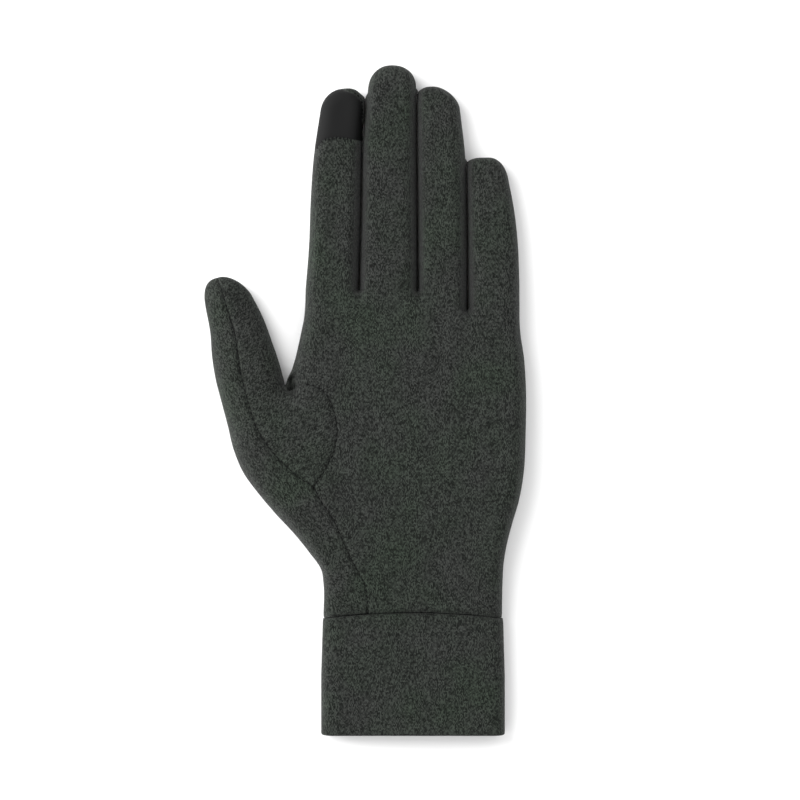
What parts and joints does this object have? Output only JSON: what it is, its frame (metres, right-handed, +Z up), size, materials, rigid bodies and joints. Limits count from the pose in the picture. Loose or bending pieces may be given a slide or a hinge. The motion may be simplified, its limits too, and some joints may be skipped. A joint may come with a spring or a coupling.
{
  "type": "glove liner",
  "caption": "Thin knitted glove liner for one hand, palm up, with a doubled cuff, a set-in thumb gusset and a smooth touchscreen pad on the index fingertip.",
  "frame": {"origin": "middle of the underside of the whole glove, on the surface it lies on", "axes": "+X across the hand from the thumb to the little finger, +Y from the cuff to the fingertips, +Z up out of the palm"},
  "size_m": [0.122, 0.2548, 0.0165],
  "materials": {
    "palm_knit": "fine jersey knit of dark green-grey heathered wool",
    "back_knit": "fine jersey knit of dark green-grey heathered wool",
    "gusset_knit": "fine jersey knit laid on the slant, dark green-grey heathered wool",
    "touch_cloth": "smooth matt black conductive cloth",
    "cuff_knit": "doubled jersey knit with a folded lower edge"
  },
  "bodies": {
    "root": {"palm_panel": "palm_knit", "back_panel": "back_knit", "thumb_gusset": "gusset_knit", "touch_tip": "touch_cloth", "cuff_band": "cuff_knit"}
  },
  "joints": []
}
